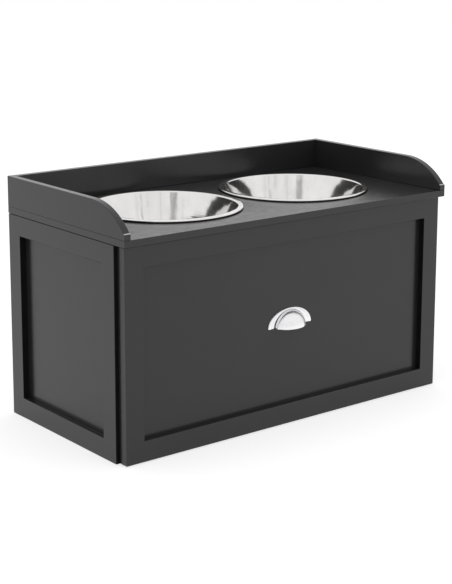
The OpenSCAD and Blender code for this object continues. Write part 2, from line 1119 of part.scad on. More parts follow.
// One face of the bowl's sheet from the middle of the floor to the end of the rolled rim
function bowl_line(inset) = concat(
    [
        [0, floor_z + dish_rise - inset],
        [dish_r, floor_z + dish_rise - inset],
        [dish_r + dish_ramp, floor_z - inset]
    ],
    arc_points(foot_r0, floor_z + foot_r, foot_r + inset, -90, -wall_lean, foot_steps),
    arc_points(lip_r0, rim_top - lip_r, lip_r - inset, 180 - wall_lean, 90, lip_steps),
    arc_points(bead_r0, rim_bead_r, rim_bead_r - inset, 90, bead_end, bead_steps)
);

function reversed(list) = [for (i = [len(list) - 1 : -1 : 0]) list[i]];

module bowl() {
    color(steel)
        translate([bowl_x, bowl_y, board_z1 + move_clear])
            rotate_extrude()
                polygon(concat(bowl_line(0), reversed(bowl_line(steel_t))));
}

module right_half() {
    mirror([1, 0, 0])
        children();
}

side_front_stile();  // left_side_front_stile
side_rear_stile();  // left_side_rear_stile
side_top_rail();  // left_side_top_rail
side_bottom_rail();  // left_side_bottom_rail
side_panel();  // left_side_panel
right_half() side_front_stile();  // right_side_front_stile
right_half() side_rear_stile();  // right_side_rear_stile
right_half() side_top_rail();  // right_side_top_rail
right_half() side_bottom_rail();  // right_side_bottom_rail
right_half() side_panel();  // right_side_panel
side_frame_dowels();
back_panel();
bottom_panel();
front_stretcher();
top_board();
side_rail();  // left_rail
right_half() side_rail();  // right_rail
back_rail();
rail_screws();
board_dowels();
cam_bolts();
cam_locks();
corner_brackets();
bracket_screws();
cabinet_runner();  // left_cabinet_runner
right_half() cabinet_runner();  // right_cabinet_runner
cabinet_runner_screws();
middle_runner();  // left_middle_runner
right_half() middle_runner();  // right_middle_runner
outer_ball_cages();
outer_balls();
inner_ball_cages();
inner_balls();
drawer_runner();  // left_drawer_runner
right_half() drawer_runner();  // right_drawer_runner
drawer_runner_screws();
front_left_stile();
front_right_stile();
front_top_rail();
front_bottom_rail();
front_panel();
front_frame_dowels();
drawer_inner_front();
box_side();  // drawer_left_side
right_half() box_side();  // drawer_right_side
drawer_back();
drawer_base();
drawer_box_screws();
front_fixing_screws();
drawer_bumpers();
cup_pull();
cup_pull_screws();
bowl();  // left_bowl
right_half() bowl();  // right_bowl
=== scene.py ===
import json
import math

import bmesh
import bpy
from bpy.props import FloatProperty, FloatVectorProperty, IntProperty, PointerProperty
from mathutils import Matrix, Vector


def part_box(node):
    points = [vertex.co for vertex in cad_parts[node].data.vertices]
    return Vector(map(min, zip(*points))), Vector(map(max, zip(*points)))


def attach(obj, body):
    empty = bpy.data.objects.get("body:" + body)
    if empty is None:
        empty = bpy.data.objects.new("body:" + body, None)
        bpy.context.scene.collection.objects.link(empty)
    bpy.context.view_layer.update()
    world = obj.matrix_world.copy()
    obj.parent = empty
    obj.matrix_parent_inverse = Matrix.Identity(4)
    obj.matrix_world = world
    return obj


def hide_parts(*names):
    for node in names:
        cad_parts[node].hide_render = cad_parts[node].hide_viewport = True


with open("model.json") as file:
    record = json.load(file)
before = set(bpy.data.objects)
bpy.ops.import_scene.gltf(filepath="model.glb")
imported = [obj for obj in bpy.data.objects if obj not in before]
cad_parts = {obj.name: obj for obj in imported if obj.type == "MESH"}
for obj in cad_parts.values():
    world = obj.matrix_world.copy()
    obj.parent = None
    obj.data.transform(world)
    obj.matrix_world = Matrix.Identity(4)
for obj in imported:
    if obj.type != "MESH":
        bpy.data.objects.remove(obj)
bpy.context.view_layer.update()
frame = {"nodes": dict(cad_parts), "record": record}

bl_info = {
    "name": "Raised pet feeder",
    "version": (1, 0, 0),
    "blender": (4, 5, 0),
    "location": "View3D > Sidebar > Feeder",
    "description": "Finishes and fine pieces for a raised pet feeder with a storage drawer",
    "category": "Object",
}

MM = 0.001
# An edge that turns by more than this is sharp
SHARP = math.radians(40)
# A point this close to the outer face of a frame lies on that face
ON_FACE = 0.1 * MM
# A face looks along an axis where that part of its normal is above this
FACING = 0.5
# A face slopes up or down where the height of its normal is above this, or below its negative
SLOPE = 0.2
NODES = frame["nodes"]
BODIES = frame["record"]["behaviour"]["bodies"]
NODE_BODY = {node: body for body, members in BODIES.items() for node in members}

DOWELS = ("side_frame_dowels", "board_dowels", "front_frame_dowels")
SCREWS = (
    "rail_screws", "bracket_screws", "cabinet_runner_screws", "drawer_runner_screws",
    "drawer_box_screws", "front_fixing_screws", "cup_pull_screws",
)
FITTINGS = ("cam_bolts", "cam_locks", "corner_brackets")
RUNNERS = (
    "left_cabinet_runner", "right_cabinet_runner", "left_middle_runner", "right_middle_runner",
    "left_drawer_runner", "right_drawer_runner",
)
CAGES = ("outer_ball_cages", "inner_ball_cages")
BALLS = ("outer_balls", "inner_balls")
BOWLS = ("left_bowl", "right_bowl")
NOT_BOARDS = DOWELS + SCREWS + FITTINGS + RUNNERS + CAGES + BALLS + BOWLS + ("drawer_bumpers", "cup_pull")
# The rails that end in a nose at the front
NOSED = ("left_rail", "right_rail")
BOARDS = tuple(sorted(node for node in NODES if node not in NOT_BOARDS))


def length(name, description, default, low=0.0, high=2.0):
    """A size property, in metres."""
    return FloatProperty(
        name=name, description=description, default=default, min=low, max=high,
        unit="LENGTH", subtype="DISTANCE", precision=5,
    )


def factor(name, description, default):
    """A property between 0 and 1."""
    return FloatProperty(
        name=name, description=description, default=default, min=0.0, max=1.0, subtype="FACTOR",
    )


def amount(name, description, default):
    """A plain number property."""
    return FloatProperty(name=name, description=description, default=default)


def colour(name, description, default):
    """A colour property in scene-linear values."""
    return FloatVectorProperty(
        name=name, description=description, default=default, min=0.0, max=1.0, size=3, subtype="COLOR",
    )


def turn(name, description, degrees):
    """An angle property."""
    return FloatProperty(
        name=name, description=description, default=math.radians(degrees), unit="ROTATION", subtype="ANGLE",
    )


class FEEDER_PG_paint(bpy.types.PropertyGroup):
    """Satin paint on the boards"""

    tone: colour("Paint colour", "Main colour of the charcoal paint", (0.0195, 0.0195, 0.0198))
    tone_light: colour("Lighter paint", "Lighter end of the paint's mottling", (0.0215, 0.0215, 0.0218))
    # Painted shade: the step colour is a near-black colour put on the steps round the sunk panels, beside
    # the drawer front and under the top board, where shade falls
    step_shade_tone: colour("Step colour", "Near-black paint on the steps and in the gaps", (0.006, 0.006, 0.006))
    step_shade_gloss: factor("Step gloss", "Specular level of the paint on the steps", 0.12)
    gloss_low: factor("Least roughness", "Roughness where the paint lies smoothest", 0.21)
    gloss_high: factor("Most roughness", "Roughness where the paint lies coarsest", 0.27)
    stipple: length("Stipple size", "Width of one dimple of the sprayed surface", 1.3 * MM)
    stipple_depth: length("Stipple depth", "Height of the sprayed surface's dimples", 0.03 * MM)
    arris: length("Softened edge", "Width of the rounding on every board edge", 0.7 * MM)
    seam: length("Seam", "Shadow gap under the top board, on both sides", 0.8 * MM)
    least: length("Least outline", "Smaller outlines, as round screw holes, keep their sharp edges", 25 * MM)
    # Painted highlight: a light colour on a strip on top of each nose stands in for the glint of its edge
    glint: colour("Worn edge", "Colour of the bare strip on top of each nose", (0.62, 0.62, 0.61))
    glint_strip: length("Worn strip", "Depth of the bare strip on top of each nose", 2.2 * MM)


class FEEDER_PG_bowl(bpy.types.PropertyGroup):
    """Spun bowls"""

    steel: colour("Steel colour", "Colour of the stainless sheet", (0.81, 0.80, 0.79))
    roughness: factor("Roughness", "Roughness of the polished steel", 0.10)
    # Painted shade: near-black colours under the curl of the rim stand in for its contact shadow
    underside_shade: colour("Underside colour", "Dull steel under the rim's curl", (0.05, 0.05, 0.05))
    underside_shade_dark: colour("Underside stain", "Darker parts of the dull steel", (0.03, 0.03, 0.03))
    wave: length("Wave", "Width of the sheet's faint waves", 26 * MM)
    wave_depth: length("Wave depth", "Height of the sheet's faint waves", 0.35 * MM)
    grain: length("Grain pitch", "Spacing of the fine rings left by polishing", 0.9 * MM)
    sheet: length("Sheet thickness", "Thickness of the steel", 0.8 * MM)
    bead: length("Rim bead", "Radius of the rolled bead at the rim", 1.6 * MM)
    rim_width: length("Rim width", "From the bead's outer edge in to the start of the lip's curve", 7 * MM)
    lip: length("Lip curve", "Radius of the curve from the rim into the wall", 2.6 * MM)
    lean: turn("Wall lean", "Lean of the wall from upright", 15)
    foot: length("Foot curve", "Radius of the curve between wall and floor", 16 * MM)
    disc: length("Raised disc", "Radius of the raised disc in the floor", 52 * MM)
    disc_ramp: length("Disc slope", "Width of the slope round the raised disc", 5 * MM)
    disc_rise: length("Disc rise", "Height of the raised disc", 2 * MM)
    segments: IntProperty(name="Segments", description="Steps round the bowl", default=256, min=32, max=512)


class FEEDER_PG_pull(bpy.types.PropertyGroup):
    """Cup pull"""

    plate: colour("Chrome colour", "Colour of the chrome plate", (0.86, 0.86, 0.87))
    roughness: factor("Roughness", "Roughness of the flange's chrome", 0.13)
    hood_roughness: factor("Hood roughness", "Roughness of the hood's satin chrome", 0.26)
    # Painted shade: dark colours in the groove round the hood stand in for the shade there
    groove_shade: colour("Groove colour", "Colour of the dull groove round the hood", (0.13, 0.13, 0.13))
    groove_shade_dark: colour("Groove stain", "Darker parts of the dull groove", (0.09, 0.09, 0.09))
    width: length("Width", "Width over the flange", 82 * MM)
    height: length("Height", "Height of the flange", 29 * MM)
    hood_width: length("Hood width", "Width of the hood", 55 * MM)
    hood_high: length("Hood height", "Height of the hood", 25 * MM)
    hood_out: length("Hood depth", "How far the hood stands out of the panel", 20 * MM)
    hood_end: length("Hood end curve", "Radius of the hood's outline at each end", 15 * MM)
    hood_foot: length("Hood foot", "Straight foot of the hood's outline", 2 * MM)
    wall: length("Hood wall", "Thickness of the hood", 1.6 * MM)
    bead: length("Flange bead", "Height of the flange's outer bead", 3.6 * MM)
    end: length("Flange end", "Length of the flange's rounded ends", 1.2 * MM)


class FEEDER_PG_metal(bpy.types.PropertyGroup):
    """Fittings, screws and runners"""

    zinc: colour("Zinc colour", "Colour of the zinc plate", (0.56, 0.57, 0.58))
    zinc_roughness: factor("Zinc roughness", "Roughness of the zinc plate", 0.30)
    hardened: colour("Ball colour", "Colour of the hardened balls", (0.70, 0.70, 0.71))
    recess: length("Driver recess", "Length of a screw head's cross recess", 3.4 * MM)
    recess_depth: length("Recess depth", "Depth of the cross recess", 0.9 * MM)
    sheet_edge: length("Sheet edge", "Rounding of the runners' sheet edges", 0.25 * MM)


class FEEDER_PG_small(bpy.types.PropertyGroup):
    """Dowels and bumpers"""

    timber: colour("Timber colour", "Colour of the dowels", (0.50, 0.35, 0.20))
    timber_dark: colour("Grain colour", "Colour of the dowels' grain lines", (0.38, 0.25, 0.13))
    rubber: colour("Bumper colour", "Colour of the soft bumpers", (0.018, 0.018, 0.018))


class FEEDER_PG_stage(bpy.types.PropertyGroup):
    """Camera, lamps, floor and backdrop"""

    lens: length("Lens", "Focal length", 90.893 * MM)
    azimuth: turn("Azimuth", "Direction of the camera round the feeder", -38.304)
    elevation: turn("Elevation", "Angle of the camera above the horizon", 11.115)
    roll: turn("Roll", "Tilt of the camera about its own axis", 0.127)
    distance: length("Distance", "From the aim point to the camera", 2.2560, 0.5, 10.0)
    shift: amount("Shift", "Upright shift of the picture", -0.15)
    aim: FloatVectorProperty(
        name="Aim", description="Point on the camera's axis", default=(0.01377, 0.03548, 0.29779),
        size=3, unit="LENGTH", subtype="TRANSLATION",
    )
    floor: colour("Floor colour", "Colour of the pale floor", (0.66, 0.66, 0.66))
    floor_size: length("Floor size", "Width of the floor", 12.0, 2.0, 40.0)
    lift: amount("Floor lift", "Light added to the floor where it is seen", 0.60)
    ambient: amount("Ambient", "Strength of the light from all round", 0.66)
    gap_light: amount("Gap light", "Light of the gaps between the lamps, as reflections show it", 0.38)
    key_power: amount("Key lamp", "Power of the lamp on the left, in watts", 1.5)
    fill_power: amount("Fill lamp", "Power of the lamp in front, in watts", 8.0)
    top_power: amount("Top lamp", "Power of the lamp overhead, in watts", 9.0)


GROUPS = {
    "feeder_paint": FEEDER_PG_paint,
    "feeder_bowl": FEEDER_PG_bowl,
    "feeder_pull": FEEDER_PG_pull,
    "feeder_metal": FEEDER_PG_metal,
    "feeder_small": FEEDER_PG_small,
    "feeder_stage": FEEDER_PG_stage,
}


# Materials


def shaded(tone, share):
    """A colour made darker or lighter by a share."""
    return tuple(share * part for part in tone)


def add_node(tree, kind, *sources, **settings):
    """Adds a node; each source is a socket to link, or a value, for the input at its place."""
    node = tree.nodes.new(kind)
    for key, value in settings.items():
        setattr(node, key, value)
    for i, source in enumerate(sources):
        if isinstance(source, bpy.types.NodeSocket):
            tree.links.new(source, node.inputs[i])
        elif source is not None:
            node.inputs[i].default_value = source
    return node


def empty_tree(owner):
    """The bare node tree of a new material or world."""
    owner.use_nodes = True
    owner.node_tree.nodes.clear()
    return owner.node_tree


class Finish:
    """A material and short ways to add and join its nodes."""

    def __init__(self, name, **surface):
        self.material = bpy.data.materials.new(name)
        self.tree = empty_tree(self.material)
        self.output = self.tree.nodes.new("ShaderNodeOutputMaterial")
        self.surface = self.add("ShaderNodeBsdfPrincipled", **surface)
        self.join(self.surface, "BSDF", self.output, "Surface")
        self.place = self.add("ShaderNodeTexCoord")

    def add(self, kind, settings=None, **inputs):
        node = self.tree.nodes.new(kind)
        for key, value in (settings or {}).items():
            setattr(node, key, value)
        for key, value in inputs.items():
            node.inputs[key.replace("_", " ")].default_value = value
        return node

    def join(self, source, output, target, input_name):
        self.tree.links.new(source.outputs[output], target.inputs[input_name])

    def noise(self, size, detail=2.0, rough=0.5, stretch=None):
        """Noise whose features are about one size, in metres."""
        node = self.add("ShaderNodeTexNoise", Scale=1 / size, Detail=detail, Roughness=rough)
        if stretch:
            mapping = self.add("ShaderNodeMapping", Scale=stretch)
            self.join(self.place, "Object", mapping, "Vector")
            self.join(mapping, "Vector", node, "Vector")
        else:
            self.join(self.place, "Object", node, "Vector")
        return node

    def spread(self, pattern, low, high, from_low=0.3, from_high=0.7):
        """Maps a pattern's grey value to a range."""
        node = self.add("ShaderNodeMapRange", From_Min=from_low, From_Max=from_high, To_Min=low, To_Max=high)
        self.join(pattern, "Fac", node, "Value")
        return node

    def colours(self, pattern, one, two, from_low=0.3, from_high=0.7):
        """Blends two colours by a pattern."""
        node = self.add("ShaderNodeMix", {"data_type": "RGBA"})
        # The mix node repeats its sockets' names, so those for colours are found by their places
        amount_in, one_in, two_in = (node.inputs[i] for i in (0, 6, 7))
        one_in.default_value = (*one, 1)
        two_in.default_value = (*two, 1)
        self.tree.links.new(self.spread(pattern, 0, 1, from_low, from_high).outputs["Result"], amount_in)
        self.tree.links.new(node.outputs[2], self.surface.inputs["Base Color"])

    def roughness(self, pattern, low, high):
        self.join(self.spread(pattern, low, high), "Result", self.surface, "Roughness")

    def bump(self, pattern, height):
        node = self.add("ShaderNodeBump", Distance=height)
        self.join(pattern, "Fac", node, "Height")
        self.join(node, "Normal", self.surface, "Normal")
        return node


def satin_paint(values):
    """Sprayed charcoal paint: a faint mottling, a fine stipple and uneven gloss."""
    finish = Finish("satin_charcoal_paint", IOR=1.455)
    mottle = finish.noise(60 * MM, detail=3.0)
    finish.colours(mottle, values.tone, values.tone_light)
    finish.roughness(finish.noise(12 * MM, detail=4.0), values.gloss_low, values.gloss_high)
    finish.bump(finish.noise(values.stipple, detail=1.0), values.stipple_depth)
    return finish.material


def painted_step_shade(values):
    """Painted shade: near-black colour on the steps round the sunk panels and on the edges beside the drawer
    front.
    """
    finish = Finish("painted_shade_on_steps", IOR=1.45, Specular_IOR_Level=values.step_shade_gloss)
    film = finish.noise(20 * MM, detail=3.0)
    finish.colours(film, values.step_shade_tone, shaded(values.step_shade_tone, 1.5))
    finish.roughness(film, 0.55, 0.7)
    finish.bump(finish.noise(values.stipple, detail=1.0), values.stipple_depth)
    return finish.material


def spun_steel(values):
    """Polished stainless steel with fine rings from the lathe and faint polishing streaks."""
    finish = Finish("spun_stainless_steel", Metallic=1.0, Anisotropic=0.2)
    tangent = finish.add("ShaderNodeTangent", {"direction_type": "RADIAL", "axis": "Z"})
    finish.join(tangent, "Tangent", finish.surface, "Tangent")
    cloud = finish.noise(30 * MM, detail=4.0)
    finish.colours(cloud, values.steel, shaded(values.steel, 0.9))
    finish.roughness(cloud, 0.75 * values.roughness, 1.35 * values.roughness)
    rings = finish.add(
        "ShaderNodeTexWave", {"wave_type": "RINGS", "rings_direction": "Z"},
        Scale=0.31 / values.grain, Distortion=0.6, Detail=2.0,
    )
    rings.inputs["Detail Scale"].default_value = 1.5
    finish.join(finish.place, "Object", rings, "Vector")
    ringed = finish.bump(rings, 0.004 * MM)
    waved = finish.bump(finish.noise(values.wave, detail=1.0), values.wave_depth)
    finish.join(ringed, "Normal", waved, "Normal")
    return finish.material


def painted_rim_shade(values):
    """Painted shade: dark, dull steel colour under the curl of the rim, where its contact shadow falls."""
    finish = Finish("painted_rim_shade", Metallic=0.4)
    scale = finish.noise(3 * MM, detail=3.0)
    finish.colours(scale, values.underside_shade, values.underside_shade_dark)
    finish.roughness(scale, 0.5, 0.7)
    return finish.material


def chrome_plate(name, values, roughness):
    """Chrome with the faint waviness of a polished casting."""
    finish = Finish(name, Metallic=1.0, Base_Color=(*values.plate, 1))
    haze = finish.noise(8 * MM, detail=3.0)
    finish.roughness(haze, 0.85 * roughness, 1.2 * roughness)
    finish.bump(finish.noise(6 * MM, detail=1.0), 0.003 * MM)
    return finish.material


def painted_groove_shade(values):
    """Painted shade: dark colour in the groove where the hood meets the flange."""
    finish = Finish("painted_groove_shade")
    film = finish.noise(2 * MM, detail=3.0)
    finish.colours(film, values.groove_shade, values.groove_shade_dark)
    finish.roughness(film, 0.45, 0.65)
    return finish.material


def painted_glint_edge(values):
    """Painted highlight: a light, smooth strip on top of each nose that stands in for the glint of its edge.
    """
    finish = Finish("painted_glint_nose_edge", IOR=1.5)
    rub = finish.noise(2 * MM, detail=3.0)
    finish.colours(rub, values.glint, shaded(values.glint, 0.8))
    finish.roughness(rub, 0.2, 0.35)
    return finish.material


def zinc_plate(values):
    """Zinc plate: a soft spangle and uneven gloss."""
    finish = Finish("zinc_plate", Metallic=1.0)
    spangle = finish.noise(4 * MM, detail=4.0, rough=0.6)
    finish.colours(spangle, values.zinc, shaded(values.zinc, 0.82))
    finish.roughness(spangle, 0.8 * values.zinc_roughness, 1.4 * values.zinc_roughness)
    finish.bump(finish.noise(1.5 * MM), 0.008 * MM)
    return finish.material


def hardened_steel(values):
    """Ground and polished balls."""
    finish = Finish("hardened_steel", Metallic=1.0)
    film = finish.noise(2 * MM, detail=3.0)
    finish.colours(film, values.hardened, shaded(values.hardened, 0.88))
    finish.roughness(film, 0.05, 0.12)
    return finish.material


def dowel_timber(values):
    """Pale hardwood with its grain along X, the way every dowel here lies."""
    finish = Finish("dowel_timber", IOR=1.45)
    grain = finish.noise(1.2 * MM, detail=5.0, rough=0.65, stretch=(0.06, 1.0, 1.0))
    finish.colours(grain, values.timber, values.timber_dark, 0.4, 0.65)
    finish.roughness(grain, 0.55, 0.75)
    finish.bump(grain, 0.05 * MM)
    return finish.material


def soft_rubber(values):
    """Matt black bumper rubber."""
    finish = Finish("soft_rubber", IOR=1.45, Base_Color=(*values.rubber, 1))
    skin = finish.noise(1.2 * MM, detail=3.0)
    finish.roughness(skin, 0.62, 0.82)
    finish.bump(skin, 0.03 * MM)
    return finish.material


def give_finish(names, material, edge=0.0):
    """Puts a material, and a rounding on every sharp edge, on CAD nodes."""
    for name in names:
        piece = NODES[name]
        if piece.material_slots:
            for place in piece.material_slots:
                place.material = material
        else:
            piece.data.materials.append(material)
        if edge:
            rounding = piece.modifiers.new("edge_rounding", "BEVEL")
            rounding.width = edge
            rounding.segments = 2
            rounding.limit_method = "ANGLE"
            rounding.angle_limit = SHARP
            rounding.harden_normals = True


# Mesh building


def add_object(name, data):
    """Puts a new object with this data in the scene."""
    item = bpy.data.objects.new(name, data)
    bpy.context.scene.collection.objects.link(item)
    return item


def piece_from(name, points, faces, material, origin=(0, 0, 0)):
    """An object from points in metres in the shared frame, with its origin where asked."""
    start = Vector(origin)
    mesh = bpy.data.meshes.new(name)
    mesh.from_pydata([Vector(point) - start for point in points], [], faces)
    mesh.materials.append(material)
    work = bmesh.new()
    work.from_mesh(mesh)
    bmesh.ops.remove_doubles(work, verts=work.verts, dist=1e-7)
    bmesh.ops.recalc_face_normals(work, faces=work.faces)
    work.to_mesh(mesh)
    work.free()
    mesh.polygons.foreach_set("use_smooth", [True] * len(mesh.polygons))
    piece = add_object(name, mesh)
    piece.location = start
    return piece


def arc(centre_r, centre_z, radius, start, end, steps):
    """Points of an arc in a cross-section, angles in degrees."""
    return [
        (centre_r + radius * math.cos(a), centre_z + radius * math.sin(a))
        for a in (math.radians(start + (end - start) * i / steps) for i in range(steps + 1))
    ]


def spun(profile, segments):
    """Points and faces of a closed cross-section of (r, z) turned about the Z axis."""
    points, rings, faces = [], [], []
    for r, z in profile:
        if r < 1e-6:
            rings.append([len(points)] * segments)
            points.append((0, 0, z))
            continue
        rings.append(range(len(points), len(points) + segments))
        points += [
            (r * math.cos(a), r * math.sin(a), z)
            for a in (2 * math.pi * i / segments for i in range(segments))
        ]
    for one, two in zip(rings, rings[1:]):
        for i in range(segments):
            j = (i + 1) % segments
            corners = [one[i], one[j], two[j], two[i]]
            face = [c for k, c in enumerate(corners) if c != corners[k - 1]]
            if len(set(face)) > 2:
                faces.append(face)
    return points, faces


def islands(name):
    """The separate solids of a CAD node, each as a list of its points."""
    mesh = NODES[name].data
    key = {}
    leader = []

    def find(a):
        while leader[a] != a:
            leader[a] = leader[leader[a]]
            a = leader[a]
        return a

    ids = []
    for vertex in mesh.vertices:
        spot = tuple(round(part * 1e6) for part in vertex.co)
        if spot not in key:
            key[spot] = len(leader)
            leader.append(key[spot])
        ids.append(key[spot])
    for face in mesh.polygons:
        first = find(ids[face.vertices[0]])
        for other in face.vertices[1:]:
            leader[find(ids[other])] = first
    groups = {}
    for spot, number in key.items():
        groups.setdefault(find(number), []).append(Vector(spot) * 1e-6)
    return list(groups.values())


# Bowls


def bowl_profile(values, rim_radius, depth):
    """Closed cross-section of a spun bowl; heights are counted from the board that its rim lies on."""
    t, bead, lip = values.sheet, values.bead, values.lip
    lean = math.degrees(values.lean)
    rim_top = 2 * bead
    lip_r = rim_radius - values.rim_width
    floor = -depth + t
    rise = (floor + values.foot - rim_top + lip) * math.sin(values.lean)
    foot_r = lip_r + (rise - values.foot - lip) / math.cos(values.lean)

    def face(inset):
        disc, ramp, high = values.disc, values.disc_ramp, floor + values.disc_rise - inset
        slope = [
            (disc + ramp * i / 8, high - values.disc_rise * (0.5 - 0.5 * math.cos(math.pi * i / 8)))
            for i in range(9)
        ]
        return (
            [(disc * i / 12, high) for i in range(12)] + slope
            + [(disc + ramp + (foot_r - disc - ramp) * i / 5, floor - inset) for i in range(1, 5)]
            + arc(foot_r, floor + values.foot, values.foot + inset, -90, -lean, 20)
            + arc(lip_r, rim_top - lip, lip - inset, 180 - lean, 90, 12)
            + arc(rim_radius - bead, bead, bead - inset, 90, -150, 24)
        )

    return face(0.0) + face(t)[::-1]


class FEEDER_OT_bowls(bpy.types.Operator):
    """Spins both steel bowls with a rolled rim, a curved foot and a stepped floor"""

    bl_idname = "feeder.bowls"
    bl_label = "Bowls"

    def execute(self, context):
        values = context.scene.feeder_bowl
        steel, rim_shade = spun_steel(values), painted_rim_shade(values)
        for name in BOWLS:
            low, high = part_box(name)
            centre = (low + high) / 2
            seat = high.z - 2 * values.bead
            profile = bowl_profile(values, (high.x - low.x) / 2, seat - low.z)
            points, faces = spun(profile, values.segments)
            placed = [Vector((centre.x + x, centre.y + y, seat + z)) for x, y, z in points]
            piece = piece_from(name + "_spun", placed, faces, steel, origin=(centre.x, centre.y, seat))
            piece.data.materials.append(rim_shade)
            # Faces under the rim's bead get the painted shade
            for face in piece.data.polygons:
                if 0 < face.center.z < values.bead and face.normal.z < -SLOPE:
                    face.material_index = 1
            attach(piece, name)
            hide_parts(name)
        return {"FINISHED"}


# Cup pull


def arch_height(x, a, b, end):
    """Height of an arch of three arcs at x: end arcs of one radius and a top arc tangent to both."""
    x = min(abs(x), a)
    drop = ((a - end) ** 2 - (b - end) ** 2) / (2 * (b - end))
    top = b + drop
    touch = (a - end) * top / math.hypot(a - end, drop)
    if x <= touch:
        return math.sqrt(max(0.0, top ** 2 - x ** 2)) - drop
    return math.sqrt(max(0.0, end ** 2 - (x - a + end) ** 2))


def hood_line(values, inset, steps):
    """Points (x, height) along the hood's outline, or a line inside it, from left foot to right foot."""
    a, b, end = values.hood_width / 2 - inset, values.hood_high - inset, values.hood_end - inset
    foot = values.hood_foot
    spots = [-a * math.cos(math.pi * i / steps) for i in range(steps + 1)]
    line = [(x, foot + arch_height(x, a, b - foot, end)) for x in spots]
    return [(-a, 0.0)] + line + [(a, 0.0)]


def hood_mesh(values, steps=72, turns=28, lip_steps=8):
    """Points and faces of the hood, in the pull's flat frame: x across, y up, z out of the panel."""
    wall, squash = values.wall, values.hood_out / values.hood_high
    outer, inner = hood_line(values, 0.0, steps), hood_line(values, wall, steps)
    edge = math.asin(min(1.0, wall / 2 / values.hood_high))
    rows = []

    def turned(line, a):
        rows.append([(x, h * math.cos(a), h * math.sin(a) * squash) for x, h in line])

    for i in range(turns + 1):
        turned(outer, (math.pi / 2 - edge) * i / turns)
    for i in range(1, lip_steps):
        b = math.pi * i / lip_steps
        mix = 0.5 - 0.5 * math.cos(b)
        drop = wall / 2 * (1 - math.sin(b))
        row = []
        for (x0, h0), (x1, h1) in zip(outer, inner):
            h = h0 + (h1 - h0) * mix
            row.append((x0 + (x1 - x0) * mix, min(drop, h * 0.5), h * squash))
        rows.append(row)
    for i in range(turns + 1):
        turned(inner, (math.pi / 2 - edge) * (1 - i / turns))
    width = len(rows[0])
    points = [point for row in rows for point in row]
    faces = []
    for r in range(len(rows)):
        s = (r + 1) % len(rows)
        for c in range(width - 1):
            faces.append([r * width + c, r * width + c + 1, s * width + c + 1, s * width + c])
    return points, faces


def along(line, count):
    """Evenly spaced points along a line of points."""
    lengths = [0.0]
    for one, two in zip(line, line[1:]):
        lengths.append(lengths[-1] + math.dist(one, two))
    spots, k = [], 0
    for i in range(count + 1):
        target = lengths[-1] * i / count
        while k < len(line) - 2 and lengths[k + 1] < target:
            k += 1
        part = (target - lengths[k]) / max(1e-12, lengths[k + 1] - lengths[k])
        spots.append(Vector(line[k]).lerp(Vector(line[k + 1]), min(1.0, part)))
    return spots


# Share of the way from the flange's outer edge to the hood's wall, and of the bead's height
FLANGE_PROFILE = (
    (0.0, 0.0), (0.003, 0.12), (0.02, 0.38), (0.05, 0.62), (0.09, 0.80), (0.14, 0.93), (0.19, 0.99),
    (0.24, 1.0), (0.29, 0.97), (0.34, 0.88), (0.38, 0.76), (0.42, 0.64), (0.45, 0.58), (0.48, 0.56),
    (0.52, 0.60), (0.57, 0.63), (0.63, 0.62), (0.69, 0.57), (0.74, 0.49), (0.79, 0.38), (0.83, 0.26),
    (0.87, 0.20), (1.0, 0.20), (1.0, 0.0),
)
# The groove, and the painted shade in it, start at this share of the way
GROOVE_FROM = 0.82


def flange_mesh(values, steps=120, cap=10):
    """Points and faces of the flange, and for each face 1 where it lies in the groove and gets the painted
    shade, else 0.
    """
    foot = values.hood_foot
    outer = along([
        (-values.width / 2 * math.cos(a), foot + (values.height - foot) * math.sin(a))
        for a in (math.pi * i / (4 * steps) for i in range(4 * steps + 1))
    ], steps)
    inner = along(hood_line(values, values.wall / 2, steps)[1:-1], steps)
    rows = []
    for i in range(-cap, steps + cap + 1):
        k = min(max(i, 0), steps)
        past = max(-i, i - steps, 0) / cap
        full = math.sqrt(max(0.0, 1 - past ** 2))
        drop = Vector((0, -values.end * past))
        rows.append([
            (*(outer[k].lerp(inner[k], f) + drop), h * full * values.bead) for f, h in FLANGE_PROFILE
        ])
    width = len(rows[0])
    points = [point for row in rows for point in row]
    faces, groove_shade = [], []
    for r in range(len(rows) - 1):
        for c in range(width):
            d = (c + 1) % width
            faces.append([r * width + c, r * width + d, (r + 1) * width + d, (r + 1) * width + c])
            groove_shade.append(int(FLANGE_PROFILE[c][0] > GROOVE_FROM))
    return points, faces, groove_shade


class FEEDER_OT_cup_pull(bpy.types.Operator):
    """Forms the cup pull: a thin hood behind a beaded flange"""

    bl_idname = "feeder.cup_pull"
    bl_label = "Cup pull"

    def execute(self, context):
        values = context.scene.feeder_pull
        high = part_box("cup_pull")[1]
        foot = high.z - values.height

        def on_drawer(points):
            return [(x, high.y - z, foot + y) for x, y, z in points]

        points, faces = hood_mesh(values)
        satin = chrome_plate("satin_chrome", values, values.hood_roughness)
        hood = piece_from("cup_pull_hood", on_drawer(points), faces, satin)
        points, faces, groove_shade = flange_mesh(values)
        bright = chrome_plate("bright_chrome", values, values.roughness)
        flange = piece_from("cup_pull_flange", on_drawer(points), faces, bright)
        flange.data.materials.append(painted_groove_shade(values))
        # Faces in the groove get the painted shade
        flange.data.polygons.foreach_set("material_index", groove_shade)
        for piece in (hood, flange):
            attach(piece, "drawer")
            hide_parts("cup_pull")
        return {"FINISHED"}


# Screws


def round_points(radius, height, sides):
    """Points of a level ring."""
    return [
        (radius * math.cos(a), radius * math.sin(a), height)
        for a in (2 * math.pi * i / sides for i in range(sides))
    ]


